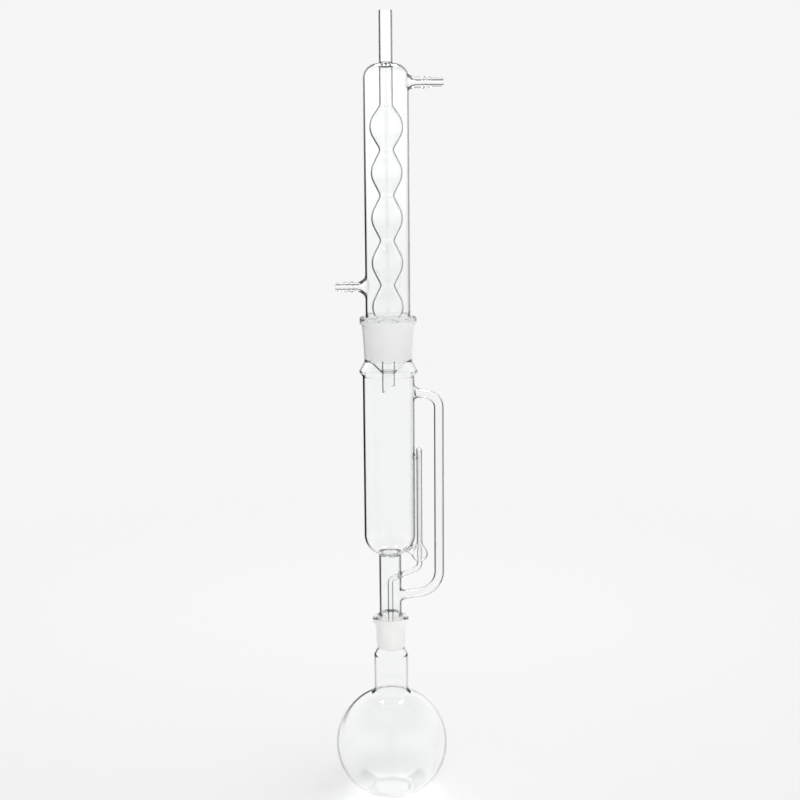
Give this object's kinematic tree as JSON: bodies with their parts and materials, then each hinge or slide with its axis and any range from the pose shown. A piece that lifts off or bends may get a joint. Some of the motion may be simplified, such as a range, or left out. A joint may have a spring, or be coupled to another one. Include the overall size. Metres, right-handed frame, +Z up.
{
  "type": "soxhlet extractor",
  "caption": "Laboratory glass soxhlet extractor: flat-bottomed round flask, thimble chamber with vapour tube and siphon, and a bulb condenser in a water jacket with hose nozzles",
  "frame": {"origin": "the centre of the flask's foot, on the bench", "axes": "+Z is up, along the glassware's one axis. +X points to the side of the vapour tube, the siphon and the upper hose nozzle; -X to the lower hose nozzle. The picture looks along +Y."},
  "size_m": [0.1024, 0.1024, 0.7055],
  "materials": {
    "glass": "clear borosilicate glass, frosted on its ground joints"
  },
  "bodies": {
    "root": {"flask": "glass", "extractor": "glass", "condenser": "glass"}
  },
  "joints": []
}
